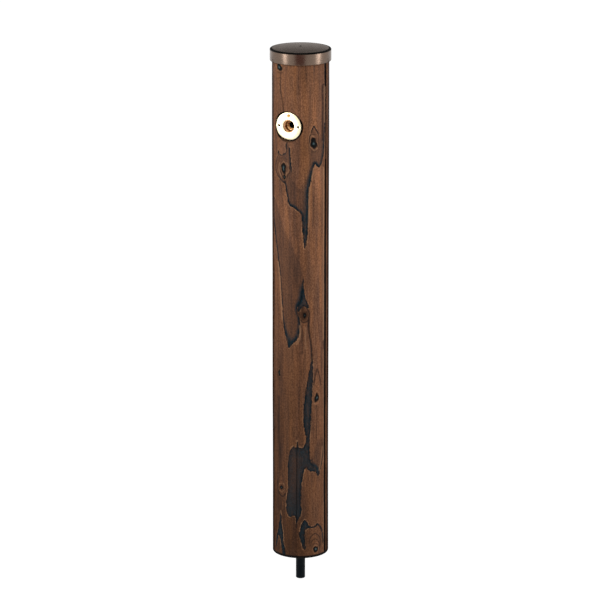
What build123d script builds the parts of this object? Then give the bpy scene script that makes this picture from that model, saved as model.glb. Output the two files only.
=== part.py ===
from build123d import *
import os
from math import cos, radians, sqrt

# Garden standpipe: a round log post, sawn in two halves along its length, with a water pipe
# up its middle, a brass tap elbow near its top and a domed cap. Millimetres, +Z up, origin at
# the centre of the log's bottom end. The tap side faces -Y and the saw joint lies on y = 0.

# Clearances
slip_gap = 0.05
seat_gap = 0.3
cut_overrun = 5.0

# Supply pipe, its foam sleeve and the bush at the foot
pipe_diameter = 18.0
pipe_stub_length = 58.0
pipe_end_chamfer = 1.0
insertion_mark_distance = 26.0
insertion_mark_width = 1.0
insertion_mark_depth = 0.3
waterway_diameter = 13.0
sleeve_wall = 2.3
sleeve_gap = 0.4
bush_height = 12.0
pipe_radius = pipe_diameter / 2
waterway_radius = waterway_diameter / 2
sleeve_radius = pipe_radius + sleeve_gap + sleeve_wall

# Log
log_diameter = 108.0
log_height = 994.6
log_end_chamfer = 1.2
seam_groove_depth = 2.4
log_radius = log_diameter / 2
channel_radius = sleeve_radius + seat_gap

# Tap seat in the front of the log, and the flange nut with the marks on its face
tap_drop = 139.2
seat_depth = 11.0
seat_side_gap = 2.5
hub_hole_gap = 0.6
hub_hole_spare_depth = 1.0
flange_thickness = 3.4
flange_edge_round = 0.7
flange_mouth_chamfer = 0.6
flange_lip_overlap = 1.1
flange_lip_gap = 0.3
hub_wall = 2.95
hub_length = 8.0
spanner_hole_diameter = 4.0
spanner_edge_distance = 5.9
dimple_diameter = 6.0
dimple_depth = 0.9
gasket_width = 7.7
gasket_thickness = 2.0
flange_overhang = 2.0

# Brass elbow: neck towards the tap, barrel down to the pipe
neck_diameter = 26.0
neck_recess = 2.4
neck_end_chamfer = 0.8
tap_thread_minor_diameter = 18.631
tap_thread_depth = 13.0
barrel_diameter = 27.0
barrel_drop = 36.0
inlet_thread_depth = 15.0
inlet_hex_step = 1.0
inlet_hex_height = 10.0
neck_radius = neck_diameter / 2
neck_fit_radius = neck_radius + slip_gap
barrel_radius = barrel_diameter / 2
thread_radius = tap_thread_minor_diameter / 2
hex_corner_share = 1 / cos(radians(30))
inlet_hex_radius = (barrel_radius + inlet_hex_step) * hex_corner_share

# Places that follow from the seat, the nut and the elbow
hub_radius = neck_fit_radius + hub_wall
tap_height = log_height - tap_drop
gasket_bore_radius = hub_radius + seat_gap
gasket_radius = gasket_bore_radius + gasket_width
flange_radius = gasket_radius + flange_overhang
seat_radius = flange_radius + seat_side_gap
seat_floor = log_radius - seat_depth
flange_back = seat_floor + gasket_thickness
flange_face = flange_back + flange_thickness
hub_back = flange_back - hub_length
mark_circle_radius = flange_radius - spanner_edge_distance
neck_end = flange_face - neck_recess
flange_lip_back = neck_end + flange_lip_gap
flange_lip_radius = neck_radius - flange_lip_overlap
elbow_bottom = tap_height - barrel_drop

# Locknut and washer that clamp the elbow from inside
locknut_wall = 2.95
locknut_thickness = 6.0
locknut_edge_chamfer = 0.8
locknut_gap = 1.0
washer_width = 4.2
washer_thickness = 1.5
locknut_hex_radius = (neck_fit_radius + locknut_wall) * hex_corner_share
locknut_back = barrel_radius + locknut_gap
washer_back = locknut_back + locknut_thickness
washer_bore_radius = neck_radius + seat_gap

# Threaded adapter between elbow and pipe
adapter_wall = 3.15
adapter_hex_step = 1.3
adapter_hex_height = 8.0
adapter_socket_depth = 26.0
adapter_thread_end_gap = 1.0
socket_radius = pipe_radius + slip_gap
adapter_radius = socket_radius + adapter_wall
adapter_hex_radius = (adapter_radius + adapter_hex_step) * hex_corner_share
adapter_hex_bottom = elbow_bottom - adapter_hex_height
adapter_bottom = adapter_hex_bottom - adapter_socket_depth
pipe_top = adapter_bottom + adapter_socket_depth - seat_gap

# Pocket for elbow and adapter: wide round the locknut, and below it narrow, so that the
# hexagon of the elbow can't turn while a tap is screwed in
pocket_gap = 4.0
spanner_room = 1.5
pocket_width = 2 * (locknut_hex_radius + spanner_room)
pocket_throat_width = 2 * (inlet_hex_radius + seat_gap)
pocket_front = washer_back + washer_thickness
pocket_rear = barrel_radius + pocket_gap
pocket_top = tap_height + barrel_radius + pocket_gap
pocket_throat_top = elbow_bottom + inlet_hex_height + seat_gap
pocket_bottom = adapter_bottom - pocket_gap

# Screws that pull the two halves together, and the plugs over their heads
screw_rows = 5
screw_spread = 60.0
screw_end_distance = 62.0
screw_shank_diameter = 4.4
screw_head_diameter = 9.0
screw_tip_length = 5.0
screw_tip_diameter = 1.0
screw_tip_cover = 18.0
plug_side_gap = 0.5
plug_length = 11.0
plug_recess = 0.3
screw_row_pitch = (log_height - 2 * screw_end_distance) / (screw_rows - 1)
screw_hole_radius = screw_shank_diameter / 2 + slip_gap
screw_reach = sqrt(log_radius**2 - (screw_spread / 2) ** 2)
screw_head_top = screw_reach - plug_length
screw_head_height = (screw_head_diameter - screw_shank_diameter) / 2
screw_head_bottom = screw_head_top - screw_head_height
screw_tip = screw_tip_cover - screw_reach
plug_radius = screw_head_diameter / 2 + plug_side_gap

# Cap, its screw and the core plug that the screw bites into
cap_gap = 1.8
cap_wall = 2.2
cap_skirt_height = 22.4
cap_dome_rise = 3.5
cap_shoulder_round = 1.8
cap_skirt_edge_round = 0.4
cap_screw_length = 26.0
cap_screw_diameter = 3.0
cap_screw_head_diameter = 6.0
cap_screw_head_rise = 0.7
cap_screw_tip_length = 3.0
cap_screw_tip_diameter = 0.6
cross_slot_width = 1.0
cross_slot_length = 3.4
cross_slot_depth = 1.2
core_plug_length = 40.0
cap_skirt_bore_radius = log_radius + cap_gap
cap_radius = cap_skirt_bore_radius + cap_wall
cap_dome_radius = (cap_radius**2 + cap_dome_rise**2) / (2 * cap_dome_rise)
cap_under_radius = cap_dome_radius - cap_wall
cap_seat_radius = log_radius - log_end_chamfer
cap_dome_centre = log_height + seat_gap - sqrt(cap_under_radius**2 - cap_seat_radius**2)
cap_apex_height = cap_dome_centre + cap_dome_radius
cap_rim_height = cap_apex_height - cap_dome_rise
cap_skirt_bottom = cap_rim_height - cap_skirt_height
cap_screw_radius = cap_screw_diameter / 2
cap_screw_hole_radius = cap_screw_radius + slip_gap

# Planes that the cuts and turned pieces are drawn on
tap_plane = Plane(origin=(0, 0, tap_height), x_dir=(1, 0, 0), z_dir=(0, -1, 0))
rear_plane = Plane(origin=(0, 0, 0), x_dir=(-1, 0, 0), z_dir=(0, 1, 0))


def screw_spots():
    """Places of the joining screws, as (sideways, height)."""
    heights = [screw_end_distance + row * screw_row_pitch for row in range(screw_rows)]
    sides = [-screw_spread / 2, screw_spread / 2]
    return [(x, z) for z in heights for x in sides]


def half_section(side):
    """One half of the log's cross-section: side -1 is the tap half, +1 the rear half."""
    with BuildSketch(Plane.XY) as section:
        Circle(log_radius)
        with Locations((0, -side * log_radius / 2)):
            Rectangle(log_diameter, log_radius, mode=Mode.SUBTRACT)
        with Locations((-log_radius, 0), (log_radius, 0)):
            groove_side = seam_groove_depth * sqrt(2)
            Rectangle(groove_side, groove_side, rotation=45, mode=Mode.SUBTRACT)
        Circle(channel_radius, mode=Mode.SUBTRACT)
    return section.sketch


def outer_rims(part):
    """The round edges of a half log at its two ends."""
    rims = part.edges().filter_by(GeomType.CIRCLE).filter_by(lambda e: abs(e.radius - log_radius) < slip_gap)
    return rims.group_by(Axis.Z)[0] + rims.group_by(Axis.Z)[-1]


def pocket(depth, side):
    """The pocket's share of one half of the log, wide round the locknut and narrow below it."""
    with BuildPart() as space:
        with BuildSketch(Plane.XY.offset(pocket_throat_top)):
            with Locations((0, side * depth / 2)):
                Rectangle(pocket_width, depth)
        extrude(amount=pocket_top - pocket_throat_top)
        with BuildSketch(Plane.XY.offset(pocket_bottom)):
            with Locations((0, side * depth / 2)):
                Rectangle(pocket_throat_width, depth)
        extrude(amount=pocket_throat_top - pocket_bottom)
    return space.part


front_section = half_section(-1)
rear_section = half_section(1)
front_pocket = pocket(pocket_front, -1)
rear_pocket = pocket(pocket_rear, 1)

# Front half of the log, with the tap seat and the front of the pocket
with BuildPart() as front_log_half:
    add(front_section)
    extrude(amount=log_height)
    chamfer(outer_rims(front_log_half), log_end_chamfer)
    add(front_pocket, mode=Mode.SUBTRACT)
    with BuildSketch(tap_plane.offset(seat_floor)):
        Circle(seat_radius)
    extrude(amount=seat_depth + cut_overrun, mode=Mode.SUBTRACT)
    with BuildSketch(tap_plane.offset(hub_back - hub_hole_spare_depth)):
        Circle(hub_radius + hub_hole_gap)
    extrude(amount=hub_length + seat_depth, mode=Mode.SUBTRACT)
    with BuildSketch(tap_plane):
        Circle(neck_radius + hub_hole_gap)
    extrude(amount=log_radius, mode=Mode.SUBTRACT)
    with BuildSketch(rear_plane.offset(screw_tip)):
        with Locations(*screw_spots()):
            Circle(screw_hole_radius)
    extrude(amount=-screw_tip, mode=Mode.SUBTRACT)

# Rear half, with the rear of the pocket and the screw holes
with BuildPart() as rear_log_half:
    add(rear_section)
    extrude(amount=log_height)
    chamfer(outer_rims(rear_log_half), log_end_chamfer)
    add(rear_pocket, mode=Mode.SUBTRACT)
    with BuildSketch(rear_plane):
        with Locations(*screw_spots()):
            Circle(screw_hole_radius)
    extrude(amount=log_radius, mode=Mode.SUBTRACT)
    with BuildSketch(rear_plane.offset(screw_head_bottom)):
        with Locations(*screw_spots()):
            Circle(plug_radius + slip_gap)
    extrude(amount=log_radius, mode=Mode.SUBTRACT)

# Countersunk screws from the rear into the front half
with BuildPart() as joining_screws:
    with BuildSketch(rear_plane.offset(screw_tip + screw_tip_length)):
        with Locations(*screw_spots()):
            Circle(screw_shank_diameter / 2)
    extrude(amount=screw_head_top - screw_tip - screw_tip_length)
    with Locations(rear_plane.offset(screw_head_bottom + screw_head_height / 2)):
        with Locations(*screw_spots()):
            Cone(screw_shank_diameter / 2, screw_head_diameter / 2, screw_head_height)
    with Locations(rear_plane.offset(screw_tip + screw_tip_length / 2)):
        with Locations(*screw_spots()):
            Cone(screw_tip_diameter / 2, screw_shank_diameter / 2, screw_tip_length)

# Wooden plugs over the screw heads, turned flush with the log
with BuildPart() as screw_plugs:
    with BuildSketch(rear_plane.offset(screw_head_top + slip_gap)):
        with Locations(*screw_spots()):
            Circle(plug_radius)
    extrude(amount=log_radius)
    with BuildSketch(Plane.XY):
        Circle(log_radius - plug_recess)
    extrude(amount=log_height, mode=Mode.INTERSECT)

# Turned wooden plug in the top of the channel
with BuildPart() as core_plug:
    with BuildSketch(Plane.XY.offset(log_height - core_plug_length)):
        Circle(channel_radius - slip_gap)
        Circle(cap_screw_hole_radius, mode=Mode.SUBTRACT)
    extrude(amount=core_plug_length)

# Domed cap with a skirt round the log's top
with BuildPart() as cap_shell:
    with BuildSketch(Plane.XZ) as cap_profile:
        with BuildLine():
            under_edge = cap_dome_centre + sqrt(cap_under_radius**2 - cap_skirt_bore_radius**2)
            under_middle = (0, cap_apex_height - cap_wall)
            RadiusArc((0, cap_apex_height), (cap_radius, cap_rim_height), cap_dome_radius)
            Polyline(
                (cap_radius, cap_rim_height),
                (cap_radius, cap_skirt_bottom),
                (cap_skirt_bore_radius, cap_skirt_bottom),
                (cap_skirt_bore_radius, under_edge),
            )
            RadiusArc((cap_skirt_bore_radius, under_edge), under_middle, -cap_under_radius)
            Line(under_middle, (0, cap_apex_height))
        make_face()
        shoulder = cap_profile.vertices().group_by(Axis.X)[-1].sort_by(Axis.Y)[-1]
        fillet(shoulder, cap_shoulder_round)
        skirt_lip = cap_profile.vertices().group_by(Axis.Y)[0]
        fillet(skirt_lip, cap_skirt_edge_round)
    revolve(axis=Axis.Z)
    with Locations((0, 0, cap_apex_height)):
        sink_radius = cap_screw_head_diameter / 2 + slip_gap
        CounterSinkHole(cap_screw_hole_radius, sink_radius, counter_sink_angle=90)

# Raised-head screw through the middle of the cap
with BuildPart() as cap_screw:
    with BuildSketch(Plane.XZ):
        with BuildLine():
            head = cap_screw_head_diameter / 2
            head_bottom = cap_apex_height - (head - cap_screw_radius)
            tip_height = cap_apex_height - cap_screw_length
            Polyline(
                (0, tip_height),
                (cap_screw_tip_diameter / 2, tip_height),
                (cap_screw_radius, tip_height + cap_screw_tip_length),
                (cap_screw_radius, head_bottom),
                (head, cap_apex_height),
            )
            head_round = (head**2 + cap_screw_head_rise**2) / (2 * cap_screw_head_rise)
            RadiusArc((head, cap_apex_height), (0, cap_apex_height + cap_screw_head_rise), -head_round)
            Line((0, cap_apex_height + cap_screw_head_rise), (0, tip_height))
        make_face()
    revolve(axis=Axis.Z)
    with BuildSketch(Plane.XY.offset(cap_apex_height + cap_screw_head_rise - cross_slot_depth)):
        Rectangle(cross_slot_length, cross_slot_width)
        Rectangle(cross_slot_width, cross_slot_length)
    extrude(amount=cross_slot_depth + cap_screw_head_rise, mode=Mode.SUBTRACT)

# Flange nut: a round face plate on a threaded hub, whose lip covers the end of the elbow's neck,
# with two pin-spanner holes and a centre mark
with BuildPart() as flange_nut:
    with BuildSketch(tap_plane.offset(flange_back)):
        Circle(flange_radius)
    extrude(amount=flange_thickness)
    fillet(flange_nut.edges().filter_by(GeomType.CIRCLE), flange_edge_round)
    with BuildSketch(tap_plane.offset(hub_back)):
        Circle(hub_radius)
    extrude(amount=hub_length)
    with BuildSketch(tap_plane.offset(hub_back)):
        Circle(neck_fit_radius)
    extrude(amount=flange_lip_back - hub_back, mode=Mode.SUBTRACT)
    with Locations(tap_plane.offset(flange_face)):
        Hole(flange_lip_radius)
        with Locations((-mark_circle_radius, 0), (mark_circle_radius, 0)):
            Hole(spanner_hole_diameter / 2)
    mouth = flange_nut.faces().sort_by(Axis.Y)[0].edges().filter_by(GeomType.CIRCLE)
    chamfer(
        mouth.filter_by(lambda e: abs(e.radius - flange_lip_radius) < slip_gap),
        flange_mouth_chamfer,
    )
    dimple_round = ((dimple_diameter / 2) ** 2 + dimple_depth**2) / (2 * dimple_depth)
    dimple_centre = flange_face + dimple_round - dimple_depth
    with Locations(tap_plane.offset(dimple_centre)):
        with Locations((0, mark_circle_radius)):
            Sphere(dimple_round, mode=Mode.SUBTRACT)

# Rubber gasket between the flange nut and its seat in the wood
with BuildPart() as flange_gasket:
    with BuildSketch(tap_plane.offset(seat_floor)):
        Circle(gasket_radius)
        Circle(gasket_bore_radius, mode=Mode.SUBTRACT)
    extrude(amount=gasket_thickness)

# Brass elbow with a threaded neck, a female tap thread and a hexagon at its inlet
with BuildPart() as tap_elbow:
    with BuildSketch(tap_plane):
        Circle(neck_radius)
    extrude(amount=neck_end)
    chamfer(
        tap_elbow.edges().filter_by(GeomType.CIRCLE).sort_by(Axis.Y)[0],
        neck_end_chamfer,
    )
    with BuildSketch(Plane.XY.offset(elbow_bottom)):
        Circle(barrel_radius)
    extrude(amount=barrel_drop)
    with Locations((0, 0, tap_height)):
        Sphere(barrel_radius)
    with BuildSketch(Plane.XY.offset(elbow_bottom)):
        RegularPolygon(inlet_hex_radius, 6)
    extrude(amount=inlet_hex_height)
    with BuildSketch(tap_plane.offset(neck_end - tap_thread_depth)):
        Circle(thread_radius)
    extrude(amount=tap_thread_depth, mode=Mode.SUBTRACT)
    with BuildSketch(tap_plane):
        Circle(waterway_radius)
    extrude(amount=neck_end, mode=Mode.SUBTRACT)
    with BuildSketch(Plane.XY.offset(elbow_bottom)):
        Circle(waterway_radius)
    extrude(amount=barrel_drop, mode=Mode.SUBTRACT)
    with Locations((0, 0, tap_height)):
        Sphere(waterway_radius, mode=Mode.SUBTRACT)
    with BuildSketch(Plane.XY.offset(elbow_bottom)):
        Circle(thread_radius)
    extrude(amount=inlet_thread_depth, mode=Mode.SUBTRACT)

# Hexagon locknut on the neck, inside the pocket
with BuildPart() as elbow_locknut:
    with BuildSketch(tap_plane.offset(locknut_back)):
        RegularPolygon(locknut_hex_radius, 6)
        Circle(neck_fit_radius, mode=Mode.SUBTRACT)
    extrude(amount=locknut_thickness)
    with BuildSketch(tap_plane.offset(locknut_back)):
        Circle(locknut_hex_radius - locknut_edge_chamfer)
    extrude(amount=locknut_thickness, mode=Mode.INTERSECT)

# Steel washer between the locknut and the wood
with BuildPart() as locknut_washer:
    with BuildSketch(tap_plane.offset(washer_back)):
        Circle(washer_bore_radius + washer_width)
        Circle(washer_bore_radius, mode=Mode.SUBTRACT)
    extrude(amount=washer_thickness)

# Threaded adapter: male thread into the elbow, hexagon, and a socket for the pipe
with BuildPart() as pipe_adapter:
    with BuildSketch(Plane.XY.offset(adapter_bottom)):
        Circle(adapter_radius)
    extrude(amount=adapter_hex_bottom - adapter_bottom)
    with BuildSketch(Plane.XY.offset(adapter_hex_bottom)):
        RegularPolygon(adapter_hex_radius, 6)
    extrude(amount=adapter_hex_height)
    with BuildSketch(Plane.XY.offset(elbow_bottom)):
        Circle(thread_radius - slip_gap)
    extrude(amount=inlet_thread_depth - adapter_thread_end_gap)
    with BuildSketch(Plane.XY.offset(adapter_bottom)):
        Circle(socket_radius)
    extrude(amount=adapter_socket_depth, mode=Mode.SUBTRACT)
    with Locations((0, 0, elbow_bottom)):
        Hole(waterway_radius)

# Supply pipe from below the log up to the adapter, with a scored insertion-depth ring
with BuildPart() as supply_pipe:
    with BuildSketch(Plane.XY.offset(-pipe_stub_length)):
        Circle(pipe_radius)
    extrude(amount=pipe_stub_length + pipe_top)
    chamfer(supply_pipe.edges().group_by(Axis.Z)[0], pipe_end_chamfer)
    with BuildSketch(Plane.XY.offset(insertion_mark_distance - pipe_stub_length)):
        Circle(pipe_radius + cut_overrun)
        Circle(pipe_radius - insertion_mark_depth, mode=Mode.SUBTRACT)
    extrude(amount=insertion_mark_width, mode=Mode.SUBTRACT)
    with Locations((0, 0, pipe_top)):
        Hole(waterway_radius)

# Foam sleeve that keeps the pipe from rattling in its channel
with BuildPart() as foam_sleeve:
    with BuildSketch(Plane.XY.offset(bush_height + seat_gap)):
        Circle(sleeve_radius)
        Circle(pipe_radius + sleeve_gap, mode=Mode.SUBTRACT)
    extrude(amount=pocket_bottom - bush_height - seat_gap)

# Rubber bush that centres the pipe at the log's foot
with BuildPart() as pipe_bush:
    with BuildSketch(Plane.XY):
        Circle(channel_radius - slip_gap)
        Circle(pipe_radius + slip_gap, mode=Mode.SUBTRACT)
    extrude(amount=bush_height)

pieces = {
    "front_log_half": front_log_half,
    "rear_log_half": rear_log_half,
    "joining_screws": joining_screws,
    "screw_plugs": screw_plugs,
    "core_plug": core_plug,
    "cap_shell": cap_shell,
    "cap_screw": cap_screw,
    "flange_nut": flange_nut,
    "flange_gasket": flange_gasket,
    "tap_elbow": tap_elbow,
    "elbow_locknut": elbow_locknut,
    "locknut_washer": locknut_washer,
    "pipe_adapter": pipe_adapter,
    "supply_pipe": supply_pipe,
    "foam_sleeve": foam_sleeve,
    "pipe_bush": pipe_bush,
}

os.makedirs("parts", exist_ok=True)
for name, piece in pieces.items():
    piece.part.label = name
    export_step(piece.part, f"parts/{name}.step")
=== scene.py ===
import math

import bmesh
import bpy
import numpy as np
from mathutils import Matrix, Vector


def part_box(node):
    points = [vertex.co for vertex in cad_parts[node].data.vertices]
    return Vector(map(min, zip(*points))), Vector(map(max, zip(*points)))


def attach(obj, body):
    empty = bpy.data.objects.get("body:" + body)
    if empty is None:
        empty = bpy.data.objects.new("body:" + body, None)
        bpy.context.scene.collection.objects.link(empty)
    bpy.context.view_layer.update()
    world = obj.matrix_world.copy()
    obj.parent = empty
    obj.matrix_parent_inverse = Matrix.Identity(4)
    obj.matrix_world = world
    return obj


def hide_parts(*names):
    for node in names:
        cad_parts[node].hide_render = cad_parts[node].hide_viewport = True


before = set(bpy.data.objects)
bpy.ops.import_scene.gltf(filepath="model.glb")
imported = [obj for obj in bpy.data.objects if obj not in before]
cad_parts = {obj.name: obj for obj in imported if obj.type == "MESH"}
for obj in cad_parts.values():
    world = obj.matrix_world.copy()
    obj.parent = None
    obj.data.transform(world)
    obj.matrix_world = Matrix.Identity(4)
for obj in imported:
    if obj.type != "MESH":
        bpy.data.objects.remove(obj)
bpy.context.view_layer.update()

# %% [markdown]
# This is a garden standpipe: a charred log post with a brass tap outlet near its top, a domed
# metal cap and a plastic water pipe coming out of its foot. The construction model is already
# loaded, in metres, with +Z up, the tap facing -Y and the centre of the log's bottom end at the
# origin. Every outside size below is read from it, so what is drawn here fits it.

MM = 0.001
log_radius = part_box("front_log_half")[1].x
log_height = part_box("front_log_half")[1].z
cap_low, cap_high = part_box("cap_shell")
nut_low, nut_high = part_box("flange_nut")
gasket_low, gasket_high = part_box("flange_gasket")
elbow_low, elbow_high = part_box("tap_elbow")
locknut_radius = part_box("elbow_locknut")[1].x
washer_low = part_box("locknut_washer")[0]
adapter_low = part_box("pipe_adapter")[0]
plug_low, plug_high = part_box("screw_plugs")
pipe_low, pipe_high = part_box("supply_pipe")
flange_radius = nut_high.x
flange_face = -nut_low.y
tap_height = (nut_low.z + nut_high.z) / 2
print(f"log radius {log_radius / MM:.1f} mm, height {log_height / MM:.1f} mm, "
      f"tap at {tap_height / MM:.1f} mm")

# %% [markdown]
# The photograph was taken from a little above the cap, and the tap points 27.5 degrees to the
# left of the camera. Its two sides are almost parallel, because the film stood nearly upright in
# a camera with a raised lens. A camera without that raise comes closest to it from further off,
# with a longer lens. The picture is 600 pixels square, so a focal length in pixels turns into
# one in millimetres on a 36 mm sensor.

# %% Set up the camera
PICTURE_SIZE = 600
SENSOR_WIDTH = 36.0
view_azimuth = math.radians(27.5)
view_pitch = math.radians(15.37)
view_distance = 6.0
view_height = 2.155
focal_pixels = 3246
axis_offset_pixels = 0.55

camera_data = bpy.data.cameras.new("studio_camera")
camera_data.sensor_width = SENSOR_WIDTH
camera_data.lens = focal_pixels / PICTURE_SIZE * SENSOR_WIDTH
camera = bpy.data.objects.new("studio_camera", camera_data)
bpy.context.scene.collection.objects.link(camera)
bpy.context.scene.camera = camera
camera_right = Vector((math.cos(view_azimuth), math.sin(view_azimuth), 0))
camera_back = Vector((math.sin(view_azimuth), -math.cos(view_azimuth), 0))
side_step = axis_offset_pixels * view_distance / focal_pixels
camera.location = camera_back * view_distance - camera_right * side_step + Vector((0, 0, view_height))
camera.rotation_euler = (math.pi / 2 - view_pitch, 0, view_azimuth)
print(f"lens {camera_data.lens:.0f} mm at {view_distance} m")

# %% [markdown]
# The colours are typed as the sRGB hex values that a paint picker shows. Blender's shaders work
# in linear light, so one function converts them. Another adds a shader node with its settings
# and its links in one call, which keeps each material short enough to read.

# %% Colour and node helpers
def linear(hex_colour):
    """An sRGB hex colour as linear RGBA."""
    channels = [int(hex_colour[i:i + 2], 16) / 255 for i in (1, 3, 5)]
    return [c / 12.92 if c <= 0.04045 else ((c + 0.055) / 1.055) ** 2.4 for c in channels] + [1.0]


def add(tree, kind, inputs=(), stops=None, out=0, **settings):
    """Adds a shader node, sets it, fills its sockets with values or links, and gives an output."""
    made = tree.nodes.new("ShaderNode" + kind)
    for name, value in settings.items():
        setattr(made, name, value)
    for socket, value in inputs.items() if isinstance(inputs, dict) else enumerate(inputs):
        if isinstance(value, bpy.types.NodeSocket):
            tree.links.new(value, made.inputs[socket])
        else:
            made.inputs[socket].default_value = value
    if stops:
        ramp = made.color_ramp.elements
        while len(ramp) < len(stops):
            ramp.new(1.0)
        for element, (place, colour) in zip(ramp, stops):
            element.position = place
            element.color = linear(colour)
    return made.outputs[out] if len(made.outputs) else made


def new_material(name, **constants):
    """A material with its shader, whose constant sockets are named with _ for a space."""
    material = bpy.data.materials.new(name)
    material.use_nodes = True
    tree = material.node_tree
    tree.nodes.clear()
    shader = tree.nodes.new("ShaderNodeBsdfPrincipled")
    for socket, value in constants.items():
        shader.inputs[socket.replace("_", " ")].default_value = value
    add(tree, "OutputMaterial", {"Surface": shader.outputs[0]})
    return material, tree, shader


def link_skin(tree, shader, colour, roughness, strength, distance, height):
    """Links a material's colour and roughness, and a bump that is so many millimetres deep."""
    bump = add(tree, "Bump", {"Strength": strength, "Distance": distance * MM, "Height": height})
    for socket, value in (("Base Color", colour), ("Roughness", roughness), ("Normal", bump)):
        tree.links.new(value, shader.inputs[socket])


# %% [markdown]
# The pieces are modelled with Blender's own operators, as by hand. A few helpers keep that
# short: nothing may stay selected by accident, faces and edges are picked by their place, and a
# turned piece is drawn as a half profile, point by point, and spun round its axis.

# %% Modelling helpers
CLOSE = 0.01 * MM  # places nearer to each other than this are taken for the same place
PAST = 5 * MM  # how far a cutter stands out of what it cuts


def deselect_all():
    """Nothing stays selected, so that the next operator acts on its own object alone."""
    bpy.ops.object.select_all(action="DESELECT")


def only(target):
    """Selects one object and makes it the active one."""
    deselect_all()
    target.select_set(True)
    bpy.context.view_layer.objects.active = target
    return target


def edit(target):
    """Opens one object in edit mode with all of it selected."""
    only(target)
    bpy.ops.object.mode_set(mode="EDIT")
    bpy.ops.mesh.select_mode(type="VERT")
    bpy.ops.mesh.select_all(action="SELECT")


def done():
    """Goes back to object mode."""
    bpy.ops.object.mode_set(mode="OBJECT")


def select_where(kind, test):
    """In edit mode, selects the verts, edges or faces that pass a test, and nothing else."""
    target = bpy.context.active_object
    mesh = bmesh.from_edit_mesh(target.data)
    bpy.ops.mesh.select_mode(type={"verts": "VERT", "edges": "EDGE", "faces": "FACE"}[kind])
    bpy.ops.mesh.select_all(action="DESELECT")
    for item in getattr(mesh, kind):
        if test(item):
            item.select_set(True)
    bmesh.update_edit_mesh(target.data)


# %% Cylinders, boxes, balls and turned shapes
def place_by_axis(made, axis):
    """Turns a piece made along +Z onto the tap's axis if asked, and keeps its place in its mesh."""
    if axis == "tap":
        made.rotation_euler = (math.pi / 2, 0, 0)
        made.location.z = tap_height
    only(made)
    bpy.ops.object.transform_apply(location=True, rotation=True, scale=True)
    return made


def cylinder(name, radius, low, high, axis="z", vertices=96):
    """A closed cylinder between two places on the post's axis, or on the tap's axis."""
    deselect_all()
    bpy.ops.mesh.primitive_cylinder_add(vertices=vertices, radius=radius, depth=high - low)
    made = bpy.context.active_object
    made.name = name
    edit(made)
    bpy.ops.transform.translate(value=(0, 0, (low + high) / 2))
    done()
    return place_by_axis(made, axis)


def box_between(name, low, high):
    """A box from one corner to the other."""
    deselect_all()
    low, high = Vector(low), Vector(high)
    bpy.ops.mesh.primitive_cube_add(size=1, location=(low + high) / 2)
    made = bpy.context.active_object
    made.name = name
    made.scale = high - low
    bpy.ops.object.transform_apply(location=True, rotation=True, scale=True)
    return made


def ball_at(radius, place, segments=64, rings=32):
    """A sphere at a place, to join to a piece or to cut out of it."""
    deselect_all()
    bpy.ops.mesh.primitive_uv_sphere_add(segments=segments, ring_count=rings, radius=radius,
                                         location=place)
    made = bpy.context.active_object
    bpy.ops.object.transform_apply(location=True, rotation=True, scale=True)
    return made


def turned(name, profile, axis="z", steps=128):
    """Draws a closed half profile of (radius, place) points and spins it round the axis."""
    deselect_all()
    bpy.ops.mesh.primitive_plane_add(size=MM)
    made = bpy.context.active_object
    made.name = name
    edit(made)
    bpy.ops.mesh.merge(type="CENTER")
    bpy.ops.transform.translate(value=(profile[0][0], 0, profile[0][1]))
    for (r0, z0), (r1, z1) in zip(profile, profile[1:] + profile[:1]):
        bpy.ops.mesh.extrude_vertices_move(TRANSFORM_OT_translate={"value": (r1 - r0, 0, z1 - z0)})
    bpy.ops.mesh.select_all(action="SELECT")
    bpy.ops.mesh.remove_doubles(threshold=1e-6)
    bpy.ops.mesh.spin(steps=steps, angle=2 * math.pi, center=(0, 0, 0), axis=(0, 0, 1))
    bpy.ops.mesh.select_all(action="SELECT")
    bpy.ops.mesh.remove_doubles(threshold=2e-6)
    bpy.ops.mesh.normals_make_consistent(inside=False)
    done()
    return place_by_axis(made, axis)


# %% Booleans, rounded edges and the finishing of a piece
def boolean(target, others, operation="DIFFERENCE"):
    """Cuts others out of the target, or joins them to it, and removes them."""
    for other in others:
        only(target)
        modifier = target.modifiers.new("shape", "BOOLEAN")
        modifier.operation = operation
        modifier.solver = "EXACT"
        modifier.object = other
        bpy.ops.object.modifier_apply(modifier=modifier.name)
        bpy.data.objects.remove(other)
    edit(target)
    bpy.ops.mesh.remove_doubles(threshold=2e-6)
    done()
    return target


def round_edges(target, width, degrees=40, segments=2):
    """Rounds all of a piece's sharp edges with an applied Bevel."""
    only(target)
    modifier = target.modifiers.new("edges", "BEVEL")
    modifier.width = width
    modifier.segments = segments
    modifier.limit_method = "ANGLE"
    modifier.angle_limit = math.radians(degrees)
    bpy.ops.object.modifier_apply(modifier=modifier.name)


def finished(target, body, node, degrees=35):
    """Shades a piece, and says what it rides on and which node it replaces."""
    only(target)
    bpy.ops.object.shade_smooth_by_angle(angle=math.radians(degrees))
    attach(target, body)
    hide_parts(node)
    print(f"{target.name}: {sum(len(p.vertices) - 2 for p in target.data.polygons)} triangles")
    return target
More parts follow.
